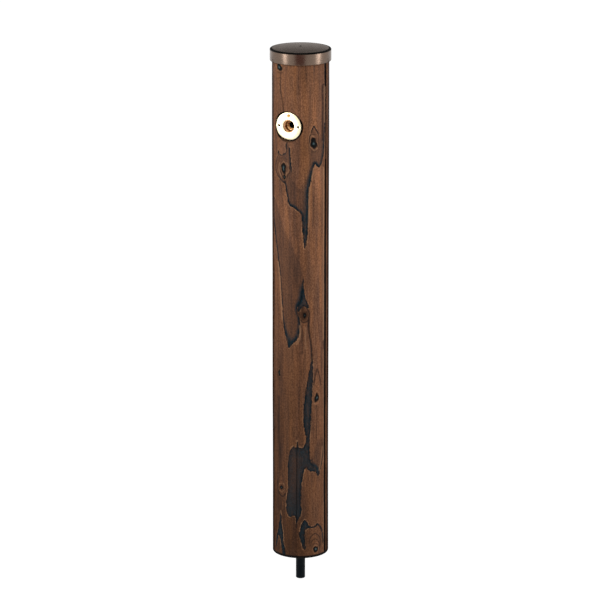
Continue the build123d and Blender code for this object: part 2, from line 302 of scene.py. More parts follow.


# %% [markdown]
# The log is a peeled softwood pole that was charred with a torch, brushed and oiled. Char stays
# in the hard late wood, so it draws dark flames whose outer edge is crisp, with a pale line
# beside it, and which fade into brown inwards. I drew those edges over the photograph, as pixel
# points. A line of sight through each point finds its place on the round log, as millimetres
# round the log and up it. The third number of a point says how many millimetres the char takes
# to fade behind that stretch of edge; zero is an edge that doesn't show. The first number of a
# figure says how dark it is all over.

# %% Draw the char figures
FLAME_FIGURES = {
    "centre": (0.10, [
        (304.6, 249, 6), (303.0, 236, 6), (302.1, 224, 6), (302.0, 217, 5), (300.7, 213.8, 5),
        (298.4, 212, 5), (296.2, 210, 5), (292.9, 207.5, 5), (290.4, 206.5, 5), (288.8, 204, 4),
        (287.8, 200, 3), (287.0, 195, 3), (286.2, 189.5, 3), (285.2, 184, 3), (282.0, 181.2, 2.5),
        (278.8, 177, 1.8), (276.2, 171, 1.8), (275.4, 166, 1.8), (276.6, 160, 1.8), (277.8, 155, 1.8),
        (278.4, 149.8, 2), (279.3, 152.8, 2), (280.8, 154.8, 2), (283.2, 154.6, 2),
        (285.3, 153.2, 2), (286.2, 150.5, 2), (286.4, 143, 2), (288.4, 143, 0), (290, 152, 3),
        (291, 166, 3), (293, 178, 0), (299, 188, 0), (303, 184, 0), (306, 172, 0), (308.6, 158, 0),
        (309.2, 146, 1.5), (309.4, 139, 1.5), (310.6, 133, 1.8), (312, 129.4, 2), (313.8, 126.6, 2),
        (316, 129.4, 2), (318, 133, 2), (320, 137, 0), (321.4, 128, 0), (321.6, 110, 0),
        (321.6, 88, 0), (324.6, 86, 3), (324.8, 110, 3), (324.6, 130, 4), (324.2, 142, 5),
        (323.8, 151, 5), (322.5, 159, 5), (321, 164.4, 5), (318.8, 167.3, 5), (316.3, 165.3, 5),
        (314.6, 164, 5), (312.6, 171.6, 6), (310.8, 180.5, 7), (309.2, 189.6, 8), (308.6, 198, 8),
        (308.4, 213, 8), (307.8, 227, 8), (306.8, 240, 6)]),
    "left_drop": (0.05, [
        (273.6, 196, 4), (274.0, 218, 4), (275.3, 231.6, 4), (276.8, 246, 3), (278.7, 261.5, 3),
        (280.3, 273, 2), (281.5, 288, 2), (282.3, 303.6, 2), (283, 315, 2), (284, 327, 4),
        (285.6, 336, 7), (287.3, 342, 9), (288.5, 348.8, 10), (291.1, 346.6, 10), (293.3, 344.2, 8),
        (296.9, 340.8, 7), (299.3, 335, 6), (300.0, 328.5, 5), (299.9, 322.6, 4), (298, 317, 3),
        (296.8, 312, 3), (297.9, 307, 5), (300.7, 301.6, 6), (302.2, 296, 6), (303.1, 289.6, 6),
        (303.6, 276, 0), (300, 262, 0), (292, 245, 0), (284, 225, 0), (278, 205, 0)]),
    "knot_hood": (0.75, [
        (303.1, 286, 3), (304.5, 294.9, 3), (306.6, 302.4, 3), (308.8, 308.6, 3), (307.4, 309.4, 3),
        (305.4, 307.4, 3), (303.0, 307.2, 3), (300.6, 309.4, 3), (298.6, 313, 3), (297.6, 309.4, 3),
        (300.4, 301.8, 3), (302, 294.9, 3)]),
    "lower": (0.85, [
        (312.6, 360, 2), (312.7, 375, 3), (312.4, 386, 3), (311.8, 398.3, 4), (310.9, 414.9, 4),
        (310.5, 425.7, 4), (309.7, 439.8, 4), (309.3, 452.2, 4), (309.9, 460.5, 4), (311.6, 465.8, 4),
        (315.5, 469.0, 4), (317.7, 472.2, 4), (318.1, 477.6, 4), (315.9, 474.2, 4), (313, 473.5, 4),
        (310.5, 473.7, 4), (308, 472.1, 4), (306.4, 469.6, 4), (304.7, 471.7, 4), (303.1, 477.1, 4),
        (301.8, 483.7, 4), (301, 493.7, 4), (300.6, 506.1, 4), (301, 513, 4), (300.4, 518.6, 4),
        (298.4, 521.4, 3), (296.4, 527, 2), (295.9, 520.2, 3), (294.4, 518.7, 3), (292.4, 518.7, 3),
        (290.6, 520, 3), (288.8, 518.8, 3), (287.2, 515.5, 3), (286.5, 509, 3), (286.9, 500, 3),
        (288.0, 492, 3), (288.3, 480, 3), (288.2, 468.8, 3), (288.8, 460.5, 3), (289.9, 455.5, 3),
        (291.5, 451.4, 3), (293.2, 448.7, 3), (295.2, 450.2, 3), (296.7, 449.7, 3), (297.4, 443, 2),
        (298.2, 449.4, 3), (299.9, 450.3, 3), (302.7, 450.9, 4), (304.4, 447.9, 4), (306, 443.9, 4),
        (306.4, 438.9, 4), (305.1, 433.9, 4), (303.9, 425.7, 4), (303.7, 417.4, 4), (304.3, 406.6, 4),
        (305.6, 397.5, 4), (306.4, 390, 4), (308.4, 378, 2), (310.9, 366, 2)]),
    "lower_drop": (0.0, [
        (323.4, 440, 1), (323.3, 453, 2), (322.1, 463, 2), (320.1, 472.1, 2), (318.1, 477.8, 3),
        (315.7, 474, 3), (311.6, 465.8, 0), (314, 450, 0), (319, 440, 0)]),
    "foot_left": (0.92, [
        (280.6, 513, 2), (281.4, 523.6, 3), (282, 528.7, 3), (282.8, 535.7, 3), (283.3, 543.4, 3),
        (284.2, 551, 3), (285.4, 557.5, 2), (283, 557.5, 2), (282.3, 553, 3), (281.4, 547.6, 3),
        (280.4, 542.1, 3), (279.5, 539, 3), (278.7, 536.2, 3), (278, 538.6, 2), (277, 544.6, 2),
        (276.0, 550, 1), (276.2, 543.5, 2), (277.0, 537.2, 2), (278.2, 531.5, 3), (279.2, 525.6, 3),
        (280, 520, 3)]),
    "foot_right": (0.92, [
        (304.8, 523.2, 3), (306.6, 525.4, 3), (307.8, 527.6, 3), (309.2, 529.2, 3), (311.4, 529.8, 2),
        (313.8, 529.2, 2), (315.8, 527.8, 2), (317.9, 525.6, 2), (320.2, 527.8, 2), (322.2, 531, 2),
        (323.2, 535.7, 2), (323.5, 541, 2), (323.2, 547, 2), (322.3, 541, 1), (321.9, 535.7, 1),
        (320.9, 532, 1), (319.4, 529.4, 1), (317.9, 527.8, 1), (316.2, 529.6, 1), (313.8, 530.9, 1),
        (311, 531.3, 2), (308, 531.5, 3), (305.6, 533.2, 3), (304.6, 538.3, 3), (304.4, 544.6, 3),
        (304.8, 548.5, 2), (305.4, 551.6, 2), (303.9, 553.4, 2), (302.4, 549.7, 3), (301.2, 545.9, 3),
        (300, 542.1, 3), (299.2, 538.2, 3), (300.1, 534.2, 3), (301, 530, 3), (302.6, 525.8, 3)]),
}
# Thin lines of char and cracks: half width in millimetres, strength, pixel points. A line with a
# strength below zero is a pale one, where the brush burnished the early wood beside the char.
CHAR_LINES = [
    (1.6, 0.60, [(280.9, 72), (280.4, 84), (281.2, 94), (282.5, 102), (283.6, 112)]),
    (1.6, 0.45, [(305.6, 66), (305.9, 74), (306.2, 80)]),
    (3.0, 1.00, [(325.0, 63), (325.2, 74), (325.4, 85)]),
    (2.4, 0.90, [(325.5, 160), (325.4, 200), (325.0, 230), (324.6, 255), (324.5, 290), (324.5, 340),
                 (324.7, 372), (324.6, 410), (324.8, 450), (324.6, 490), (324.8, 552)]),
    (1.8, 0.75, [(322.4, 86), (322.8, 104), (322.4, 124), (322.3, 140)]),
    (1.6, -0.55, [(324.2, 86), (324.4, 100), (324.3, 122)]),
    (1.6, -0.80, [(323.4, 168), (323.5, 200), (323.4, 250), (323.3, 300), (323.3, 340)]),
    (1.5, -0.40, [(323.3, 350), (323.4, 420), (323.5, 480), (323.5, 540)]),
    (1.4, -0.55, [(309.8, 188), (309.2, 200), (309.0, 214), (308.6, 228)]),
    (1.3, -0.45, [(311.6, 180), (313.0, 172), (314.2, 167.5)]),
    (1.3, -0.50, [(279.7, 163), (279.0, 168), (279.8, 173), (282.2, 177.5)]),
    (1.2, -0.45, [(286.9, 163.5), (288.6, 167.5), (288.4, 172), (285.6, 175)]),
    (1.2, 0.75, [(281.0, 172.5), (282.2, 176.5), (284.2, 179.5), (285.4, 183.5)]),
    (1.4, 0.80, [(289.3, 167.6), (289.7, 169.4)]),
    (1.2, 0.55, [(290.6, 171), (288.6, 174.6), (286.4, 178.4)]),
    (1.4, -0.45, [(299.9, 327), (300.3, 334), (299.2, 341), (296.6, 345.6)]),
    (1.2, -0.35, [(305.6, 329), (305.4, 338), (305.6, 350)]),
    (1.3, -0.55, [(278.0, 262), (280.1, 282), (281.2, 304), (282.2, 320)]),
    (1.4, -0.45, [(322.3, 448), (321.0, 462), (319.2, 472)]),
    (1.0, 0.45, [(313.5, 197), (313.2, 206), (313.6, 214), (313.4, 226)]),
    (1.6, 0.90, [(309.0, 319), (308.7, 328), (309.8, 337), (311.1, 344), (311.8, 353), (312.4, 364)]),
    (1.0, 0.50, [(302.6, 331), (302.2, 342), (302.4, 356)]),
    (1.1, 0.75, [(303.6, 308.2), (300.4, 310.6), (298.8, 315.4), (299.8, 320.4), (303.2, 323.6),
                 (307.4, 322.4), (309.3, 318), (309.0, 313), (306.8, 309.4)]),
    (1.5, 0.70, [(313.8, 386), (315.2, 378), (317.4, 370), (319.6, 378), (320.9, 386)]),
    (1.2, 0.60, [(316.7, 407), (316.8, 420), (316.4, 432), (316.2, 443)]),
    (2.8, 0.42, [(278.6, 398), (278.8, 420), (278.9, 440), (280.3, 456), (280.6, 470)]),
    (2.2, 0.45, [(280.8, 500), (280.6, 512)]),
    (0.9, 1.00, [(297.2, 446), (296.9, 462), (296.8, 490), (296.7, 512), (296.3, 531)]),
    (1.3, 0.75, [(277.6, 482), (278.2, 491), (280.2, 496.4), (283, 498.8), (285.4, 496)]),
    (1.1, 0.70, [(309.4, 547), (310.4, 542), (312.6, 538.4), (315.7, 536.8), (318.8, 538.4),
                 (320.8, 542.4), (321.2, 547)]),
    (1.0, 0.60, [(310.6, 549), (311.8, 545), (313.6, 543), (315.7, 542), (318, 543.4), (319.6, 546),
                 (320.2, 550)]),
    (1.0, 0.60, [(312, 552), (312.8, 548.6), (315, 546.6), (317.4, 547.4), (318.8, 550.4)]),
]
# Knots: pixel place, half width and height of the dark core in millimetres, and how many times
# larger the ring of pale wood round it is.
KNOTS = [
    (313.8, 143.8, 6.4, 10.4, 1.35), (283.6, 168.4, 5.4, 9.4, 1.35), (304.6, 316.6, 3.6, 4.4, 0.01),
    (316.9, 398.8, 4.9, 7.0, 1.60), (281.4, 489.4, 3.6, 4.6, 2.2), (315.9, 552.3, 4.6, 6.5, 1.4),
    (279.4, 67.8, 6.6, 7.0, 1.2), (279.2, 373.4, 3.0, 6.0, 1.2), (284.4, 177.6, 3.4, 4.0, 1.2),
]
# Broad soft places: pixel centre, half width and height in pixels, and how much lighter (plus)
# or darker (minus) the wood is there, as a power of e. A few are the wood's own tone, such as
# the dark disc round a knot; the broad ones are painted light and shade, lighter towards the
# right and the head, darker towards the foot and the left.
TONE_AND_LIGHT_PLACES = [
    (304.3, 316.0, 4.6, 6, -1.35), (318, 178, 6, 18, 0.40), (277, 440, 8, 70, -0.26),
    (277, 545, 8, 60, -0.45), (292, 552, 13, 50, -0.78), (304, 548, 8, 28, -0.35),
    (317, 120, 8, 40, 0.22), (319, 370, 7, 170, 0.28), (302, 76, 6, 14, -0.26),
    (290, 400, 12, 70, -0.26), (302, 290, 7, 50, -0.16), (296, 480, 60, 110, -0.33),
    (304, 152, 5, 18, -0.45), (284, 150, 6, 14, 0.25), (286, 218, 14, 32, 0.16),
]
# Places inside a figure where the brush took the char off again, with the share that is gone.
WORN_PLACES = [(294.2, 483, 4.2, 26, 0.55), (297, 464, 5, 6, 0.2)]
# The back of the log wasn't seen. It gets the drawing again, mirrored, turned and moved up.
BACK_COPY = (-1.0, 176.0, 40.0)

# %% [markdown]
# The photograph's own camera, with its raised lens, is what the drawing is read through:
# its distance, height, tilt, focal length and the row of its optical axis came out of a fit to
# the rims of the cap, the flange and the log's ends.

# %% Place the drawing on the log
PHOTO_CAMERA = {"distance": 3219.0, "height": 1620.7, "tilt": math.radians(6.357), "focal": 1723.6,
                "column": 300.55, "row": -90.9}
girth = 2 * math.pi * log_radius / MM


def on_log(pixel_x, pixel_y):
    """Where the line of sight through a photograph's pixel meets the log: (mm round it, height)."""
    cam = PHOTO_CAMERA
    across = (pixel_x - cam["column"]) / cam["focal"]
    down = (pixel_y - cam["row"]) / cam["focal"]
    away = math.cos(cam["tilt"]) - down * math.sin(cam["tilt"])
    fall = math.sin(cam["tilt"]) + down * math.cos(cam["tilt"])
    radius = log_radius / MM
    a, b, c = across ** 2 + away ** 2, -cam["distance"] * away, cam["distance"] ** 2 - radius ** 2
    reach = (-b - math.sqrt(max(b * b - a * c, 0.0))) / a
    angle = math.atan2(across * reach, cam["distance"] - away * reach)
    return angle * radius, cam["height"] - fall * reach


def smooth_line(points, closed):
    """Rounds a drawn line with a spline through its points, four steps to each stretch."""
    points = np.array(points, float)
    if not closed:
        points = np.vstack([2 * points[0] - points[1], points, 2 * points[-1] - points[-2]])
    before, after, after2 = np.roll(points, 1, 0), np.roll(points, -1, 0), np.roll(points, -2, 0)
    steps = [0.5 * (2 * points + (after - before) * t
                    + (2 * before - 5 * points + 4 * after - after2) * t ** 2
                    + (3 * points - before - 3 * after + after2) * t ** 3) for t in np.arange(4) / 4]
    line = np.stack(steps, 1).reshape(-1, points.shape[1])
    return line if closed else np.vstack([line[4:-8], points[-2:-1]])


def placed(points, copy):
    """Pixel points as points on the log; a copy is mirrored, moved round and moved up."""
    mirror, shift, lift = copy
    rows = []
    for point in points:
        round_log, height = on_log(point[0], point[1])
        rows.append([round_log * mirror + shift, height + lift, *point[2:]])
    return rows


figures, lines, knots, tone_and_light_places, worn = [], [], [], [], []
for copy in ((1.0, 0.0, 0.0), BACK_COPY):
    for fill, points in FLAME_FIGURES.values():
        figures.append((fill, smooth_line(placed(points, copy), True)))
    for half_width, strength, points in CHAR_LINES:
        lines.append((half_width, strength, smooth_line(placed(points, copy), False)))
    for x, y, half_x, half_z, ring in KNOTS:
        (round_log, height), = placed([(x, y)], copy)
        knots.append((round_log, height, half_x, half_z, ring))
    for source, target in ((TONE_AND_LIGHT_PLACES, tone_and_light_places), (WORN_PLACES, worn)):
        for x, y, half_x, half_y, amount in source:
            (left, _), (right, _), (middle, z), (_, top) = placed(
                [(x - half_x, y), (x + half_x, y), (x, y), (x, y - half_y)], copy)
            target.append(((left + right) / 2, z, abs(right - left) / 2, abs(top - z), amount))
print(f"{len(figures)} figures, {len(lines)} lines and {len(knots)} knots on a log {girth:.0f} mm round")

# %% Fields that the drawing makes on the log
REACH = 30.0
EDGE_CLIP = 9.0


def near(round_log, centre):
    """Places round the log, taken the short way about a centre."""
    return (round_log - centre + girth / 2) % girth - girth / 2 + centre


def close_to(px, height, line):
    """Which points are close enough to a line to feel it."""
    low, high = line[:, :2].min(0) - REACH, line[:, :2].max(0) + REACH
    return np.flatnonzero((px > low[0]) & (px < high[0]) & (height > low[1]) & (height < high[1]))


def to_stretches(px, pz, start, end):
    """Distance of each point to each stretch of a line, and how far along that stretch it is."""
    way = end[:, :2] - start[:, :2]
    length2 = np.maximum((way ** 2).sum(1), 1e-9)
    rx, rz = px[:, None] - start[None, :, 0], pz[:, None] - start[None, :, 1]
    along = np.clip((rx * way[:, 0] + rz * way[:, 1]) / length2, 0, 1)
    return np.hypot(rx - along * way[:, 0], rz - along * way[:, 1]), along


def char_fields(round_log, height):
    """Signed distance to the char's edge, how dark the char is, and the thin lines."""
    edge = np.full(len(height), -EDGE_CLIP)
    tone, crack = np.zeros(len(height)), np.zeros(len(height))
    for fill, line in figures:
        end = np.roll(line, -1, 0)
        px = near(round_log, line[:, 0].mean())
        spots = close_to(px, height, line)
        for part in np.array_split(spots, len(spots) // 20000 + 1):
            x, z = px[part], height[part]
            gap, along = to_stretches(x, z, line, end)
            fade = line[:, 2] + along * (end[:, 2] - line[:, 2])
            dark = (np.clip(fade / 2, 0, 1) * np.clip(1.5 - gap / np.maximum(fade, 0.3), 0, 1)).max(1)
            crossing = (line[:, 1] > z[:, None]) != (end[:, 1] > z[:, None])
            rise = np.where(end[:, 1] == line[:, 1], 1e-9, end[:, 1] - line[:, 1])
            cut = line[:, 0] + (z[:, None] - line[:, 1]) * (end[:, 0] - line[:, 0]) / rise
            within = (crossing & (x[:, None] < cut)).sum(1) % 2 == 1
            edge[part] = np.maximum(edge[part], gap.min(1) * np.where(within, 1, -1))
            tone[part] = np.maximum(tone[part], np.maximum(dark, fill * within))
    for half_width, strength, line in lines:
        px = near(round_log, line[:, 0].mean())
        spots = close_to(px, height, line)
        gap = to_stretches(px[spots], height[spots], line[:-1], line[1:])[0].min(1)
        here = strength * np.clip(1.6 - gap / half_width, 0, 1)
        crack[spots] = np.where(np.abs(here) > np.abs(crack[spots]), here, crack[spots])
    return np.clip(edge, -EDGE_CLIP, EDGE_CLIP), tone * (1 - spread(round_log, height, worn)), crack


# %% Soft places, knots and ripples
def spread(round_log, height, places):
    """The sum of soft round places, each full in its middle and gone at its rim."""
    total = np.zeros(len(height))
    for centre, z, half_x, half_z, amount in places:
        reach = ((near(round_log, centre) - centre) / half_x) ** 2 + ((height - z) / half_z) ** 2
        total += amount * np.exp(-reach)
    return total


def knot_fields(round_log, height):
    """How many core sizes away the nearest knot is, the same in ring sizes, and the grain's push."""
    core, ring = np.full(len(height), 6.0), np.full(len(height), 6.0)
    push = np.zeros(len(height))
    for number, (centre, z, half_x, half_z, larger) in enumerate(knots):
        side, up = near(round_log, centre) - centre, height - z
        angle = np.arctan2(up / half_z, side / half_x)
        wobble = 1 + 0.12 * np.sin(2 * angle + number) + 0.08 * np.sin(3 * angle + 2 * number) \
            + 0.06 * np.sin(5 * angle + 3 * number)
        reach = np.hypot(side / half_x, up / half_z) * wobble
        core, ring = np.minimum(core, reach), np.minimum(ring, reach / larger)
        around = np.hypot(side / (2.4 * half_x), up / (3.4 * half_z))
        push += np.sign(side) * 1.3 * half_x * np.exp(-around ** 2) * np.minimum(np.abs(side) / half_x, 1)
    return core, ring, push


def ripple(round_log, height, lobes, wave, seed):
    """A smooth field from about -1 to 1 that closes round the log, with waves that long up it."""
    random = np.random.default_rng(seed)
    total = np.zeros(len(height))
    for _ in range(14):
        turns = random.integers(max(1, lobes // 2), lobes + 1)
        phase, climb = random.uniform(0, 2 * math.pi), random.uniform(-2 * math.pi, 2 * math.pi) / wave
        total += np.cos(turns * round_log / girth * 2 * math.pi + climb * height + phase)
    return total / 5.3  # fourteen waves seldom add up to more than this


# %% [markdown]
# Each half of the log starts as a cylinder. In edit mode it is bisected along the saw joint,
# its end rims are bevelled, and its long edges are subdivided into fine rings, so that the
# surface has a vertex every 1.4 mm. The tap's seat, the pipe's channel, the pocket and the screw
# holes are cut with Boolean modifiers. Then the relief of burnt and brushed wood is given to the
# vertices in code, because it follows the drawing: char stands proud, and knots and cracks lie
# deep. The drawing itself is stored on the vertices as well, for the material to read.

# %% Model the two halves of the log
ROUND_STEPS = 248
RING_CUTS = (26, 27)
END_BEVEL = 1.2 * MM
SLIP_GAP, FIT_GAP, SEAT_GAP = 0.05 * MM, 0.6 * MM, 2.5 * MM
NECK_RADIUS, HUB_RADIUS, BARREL = 13 * MM, 16 * MM, 13.5 * MM
HEXAGON_LENGTH = 10 * MM
POCKET_ROOM, SPANNER_ROOM = 4 * MM, 1.5 * MM
NECK_HOLE_START = 5 * MM
SHANK_HOLE, PLUG_HOLE, PLUG_SEAT = 2.25 * MM, 5.05 * MM, 32 * MM
SCREW_ROWS = 5
channel_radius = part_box("core_plug")[1].x + SLIP_GAP
seat_radius = flange_radius + SEAT_GAP
screw_side = plug_high.x - PLUG_HOLE + SLIP_GAP
row_low, row_high = plug_low.z + PLUG_HOLE, plug_high.z - PLUG_HOLE


def pocket(side):
    """The pocket's share of one half: wide round the locknut, narrow round the inlet hexagon."""
    wide, narrow = locknut_radius + SPANNER_ROOM, elbow_high.y + FIT_GAP / 2
    deep = -washer_low.y if side < 0 else BARREL + POCKET_ROOM
    throat_top = elbow_low.z + HEXAGON_LENGTH + FIT_GAP / 2
    front, back = sorted((-0.5 * side * MM, side * deep))
    upper = box_between("cut_upper", (-wide, front, throat_top),
                        (wide, back, elbow_high.z + POCKET_ROOM))
    lower = box_between("cut_lower", (-narrow, front, adapter_low.z - POCKET_ROOM),
                        (narrow, back, throat_top + CLOSE))
    return [upper, lower]


def screw_holes():
    """Cylinders for the screws' shanks and heads, which go in from behind."""
    cutters = []
    for row in range(SCREW_ROWS):
        above_tap = row_low + (row_high - row_low) * row / (SCREW_ROWS - 1) - tap_height
        for x in (-screw_side, screw_side):
            for radius, front in ((SHANK_HOLE, -1 * MM), (PLUG_HOLE, PLUG_SEAT)):
                cutter = cylinder("cut_screw", radius, -log_radius - PAST, -front, "tap", 32)
                edit(cutter)
                bpy.ops.transform.translate(value=(x, 0, above_tap))
                done()
                cutters.append(cutter)
    return cutters


def half_log(name, side):
    """One half of the log, side -1 with the tap, cut and ready for its relief."""
    log = cylinder(name, log_radius, 0, log_height, vertices=ROUND_STEPS)
    edit(log)
    bpy.ops.mesh.bisect(plane_co=(0, 0, 0), plane_no=(0, 1, 0), use_fill=True,
                        clear_outer=side < 0, clear_inner=side > 0)

    def on_surface(edge):
        return min(v.co.to_2d().length for v in edge.verts) > log_radius - 0.1 * MM

    def climb(edge):
        return abs(edge.verts[0].co.z - edge.verts[1].co.z)

    select_where("edges", lambda e: climb(e) < CLOSE and on_surface(e) and e.calc_length() < log_radius)
    bpy.ops.mesh.bevel(offset=END_BEVEL, segments=2, affect="EDGES")
    for cuts in RING_CUTS:
        select_where("edges", lambda e: climb(e) > 10 * MM and on_surface(e))
        bpy.ops.mesh.subdivide(number_cuts=cuts, quadcorner="INNERVERT")
    done()
    cutters = [cylinder("cut_channel", channel_radius, -PAST, log_height + PAST)] + pocket(side)
    if side < 0:
        cutters += [cylinder("cut_seat", seat_radius, -gasket_high.y, log_radius + PAST, "tap"),
                    cylinder("cut_hub", HUB_RADIUS + FIT_GAP, -nut_high.y - MM, log_radius, "tap"),
                    cylinder("cut_neck", NECK_RADIUS + FIT_GAP, NECK_HOLE_START, log_radius, "tap")]
    else:
        cutters += screw_holes()
    return boolean(log, cutters)


# %% Relief of the burnt and brushed wood, in millimetres
CHAR_PROUD, CRACK_DEPTH, GROOVE_DEPTH = 0.30, 0.9, 2.4
KNOT_GROOVE, KNOT_HEART, MOST_PROUD = 0.7, 0.3, 0.8
WAVE_PROUD, RIDGE_PROUD, FIBRE_PROUD = 0.40, 0.10, 0.05
# painted shade: a near-black band down the log on each side of its outline as the camera sees it, so many
# millimetres round from the middle of the view, and its width
SILHOUETTE_SHADE, SILHOUETTE_SHADE_WIDTH = 79.0, 17.5


def wood_relief(log):
    """Gives a half log its relief, and stores the drawing on its vertices for the material."""
    count = len(log.data.vertices)
    places = np.empty(count * 3, np.float32)
    log.data.vertices.foreach_get("co", places)
    places = places.reshape(-1, 3).astype(float)
    radius = np.hypot(places[:, 0], places[:, 1])
    angle = np.arctan2(places[:, 0], -places[:, 1])
    round_log, height = (angle - view_azimuth) * log_radius / MM, places[:, 2] / MM
    edge, tone, crack = char_fields(round_log, height)
    core, ring, push = knot_fields(round_log, height)
    # painted shade along the two sides of the outline, a little uneven up the log
    side = np.exp(-((np.abs(near(round_log, 0)) - SILHOUETTE_SHADE) / SILHOUETTE_SHADE_WIDTH) ** 4)
    side *= 0.85 + 0.15 * ripple(round_log, height, 3, 260, 4)
    grain = round_log + push
    outer = radius > log_radius - 0.05 * MM
    proud = CHAR_PROUD * np.clip(edge / 1.2 + 0.5, 0, 1) * tone - CRACK_DEPTH * np.maximum(crack, 0)
    proud += WAVE_PROUD * ripple(grain, height, 4, 400, 1)
    proud += RIDGE_PROUD * ripple(grain, height, 60, 160, 2)
    proud += FIBRE_PROUD * ripple(grain, height, 110, 60, 3)
    proud -= KNOT_GROOVE * np.exp(-((core - 0.8) / 0.25) ** 2)
    proud += KNOT_HEART * np.exp(-(core / 0.4) ** 2)
    joint = np.clip(1 - np.abs(places[:, 1]) / (GROOVE_DEPTH * MM), 0, 1)
    proud = np.where(outer, np.minimum(proud, MOST_PROUD) - GROOVE_DEPTH * joint, 0) * MM
    places[:, :2] *= ((radius + proud) / np.maximum(radius, 1e-6))[:, None]
    log.data.vertices.foreach_set("co", places.astype(np.float32).ravel())
    bend = np.stack([np.cos(angle) * push, np.sin(angle) * push, 0 * push], 1) * MM
    # the broad places' tone and painted light and shade are stored too, for the material
    fields = {"char_edge": edge, "char_tone": tone, "crack": crack, "knot_core": core, "knot_ring": ring,
              "joint": joint, "silhouette_shade": side, "tone_and_painted_light": np.exp(spread(round_log, height, tone_and_light_places))}
    for name, values in fields.items():
        log.data.attributes.new(name, "FLOAT", "POINT").data.foreach_set("value", values.astype(np.float32))
    log.data.attributes.new("bend", "FLOAT_VECTOR", "POINT").data.foreach_set(
        "vector", bend.astype(np.float32).ravel())
    log.data.update()


post_halves = []
for name, side, node in (("front_log", -1, "front_log_half"), ("rear_log", 1, "rear_log_half")):
    log = half_log(name, side)
    wood_relief(log)
    post_halves.append(finished(log, "post", node, 40))

# %% [markdown]
# The cap is pressed from sheet metal: a low dome with a straight skirt, and a rounded shoulder
# between them. Its half profile is drawn with the sheet's thickness, with a countersunk hole in
# the middle for its screw, and spun. The shoulder and the lips are bevelled afterwards, so that
# each has its own radius.

# %% Model the cap
CAP_WALL = 2.2 * MM
DOME_RISE = 3.5 * MM
SHOULDER, SKIRT_EDGE = 2.2 * MM, 0.5 * MM
cap_radius, cap_apex, skirt_bottom = cap_high.x, cap_high.z, cap_low.z
dome_radius = (cap_radius ** 2 + DOME_RISE ** 2) / (2 * DOME_RISE)


def dome(radius, thinner=0.0):
    """The height of the dome, or of its underside, at a distance from the middle."""
    return cap_apex - dome_radius + math.sqrt((dome_radius - thinner) ** 2 - radius ** 2)


hole, sink, bore = 1.55 * MM, 3.05 * MM, cap_radius - CAP_WALL
outer_line = [(r, dome(r)) for r in np.linspace(sink, cap_radius, 12).tolist()]
under_line = [(r, dome(r, CAP_WALL)) for r in np.linspace(bore, hole, 10).tolist()]
cap = turned("cap", outer_line + [(cap_radius, skirt_bottom), (bore, skirt_bottom)] + under_line
             + [(hole, dome(sink) - (sink - hole))], steps=192)
edit(cap)
rim_height = dome(cap_radius)
select_where("edges", lambda e: all(abs(v.co.z - rim_height) < CLOSE
                                    and v.co.to_2d().length > cap_radius - 0.1 * MM for v in e.verts))
bpy.ops.mesh.bevel(offset=SHOULDER, segments=6, affect="EDGES")
select_where("edges", lambda e: all(abs(v.co.z - skirt_bottom) < CLOSE for v in e.verts)
             and abs(e.verts[0].co.to_2d().length - e.verts[1].co.to_2d().length) < 0.05 * MM)
bpy.ops.mesh.bevel(offset=SKIRT_EDGE, segments=3, affect="EDGES")
done()
finished(cap, "cap", "cap_shell", 30)

# %% Model the cap's screw
SCREW_RADIUS, SCREW_HEAD = 1.5 * MM, 3.0 * MM
SLOT_LENGTH, SLOT_WIDTH, SLOT_DEPTH = 3.4 * MM, 1.0 * MM, 1.2 * MM
screw_tip, screw_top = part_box("cap_screw")[0].z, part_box("cap_screw")[1].z
head_rise = screw_top - cap_apex
head_round = (SCREW_HEAD ** 2 + head_rise ** 2) / (2 * head_rise)
crown = [(r, screw_top - head_round + math.sqrt(head_round ** 2 - r ** 2))
         for r in np.linspace(SCREW_HEAD, 0, 7).tolist()]
shank = [(0, screw_tip), (0.3 * MM, screw_tip), (SCREW_RADIUS, screw_tip + 3 * MM),
         (SCREW_RADIUS, cap_apex - (SCREW_HEAD - SCREW_RADIUS))]
cap_screw = turned("cap_fixing_screw", shank + crown, steps=48)
slots = [box_between("slot", (-a / 2, -b / 2, screw_top - SLOT_DEPTH), (a / 2, b / 2, screw_top + MM))
         for a, b in ((SLOT_LENGTH, SLOT_WIDTH), (SLOT_WIDTH, SLOT_LENGTH))]
boolean(cap_screw, slots)
finished(cap_screw, "cap", "cap_screw")

# %% [markdown]
# The flange nut is a turned brass plate on a threaded hub, with a lip in front of the elbow's
# neck. A pin spanner turns it by its two holes, and a punched dimple marks its top. The plate's
# edge is bevelled finely, as on a lathe, because that thin bright line is what tells the eye
# that it is machined.

# %% Model the flange nut
flange_back = -gasket_low.y
hub_back = -nut_high.y
BORE_RADIUS = NECK_RADIUS + SLIP_GAP
LIP_RADIUS = 11.9 * MM
MOUTH_CHAMFER = 0.6 * MM
NECK_END = flange_face - 2.4 * MM
LIP_BACK = NECK_END + 0.3 * MM
MARK_RADIUS = flange_radius - 5.9 * MM
PIN_HOLE = 2 * MM
DIMPLE_ROUND, DIMPLE_DEPTH = 5.45 * MM, 0.9 * MM
flange = turned("flange_plate", [
    (LIP_RADIUS + MOUTH_CHAMFER, flange_face), (flange_radius, flange_face), (flange_radius, flange_back),
    (HUB_RADIUS, flange_back), (HUB_RADIUS, hub_back), (BORE_RADIUS, hub_back), (BORE_RADIUS, LIP_BACK),
    (LIP_RADIUS, LIP_BACK), (LIP_RADIUS, flange_face - MOUTH_CHAMFER)], axis="tap", steps=160)
holes = []
for x in (-MARK_RADIUS, MARK_RADIUS):
    pin = cylinder("cut_pin", PIN_HOLE, flange_back - MM, flange_face + MM, "tap", 40)
    edit(pin)
    bpy.ops.transform.translate(value=(x, 0, 0))
    done()
    holes.append(pin)
dimple_front = flange_face + DIMPLE_ROUND - DIMPLE_DEPTH
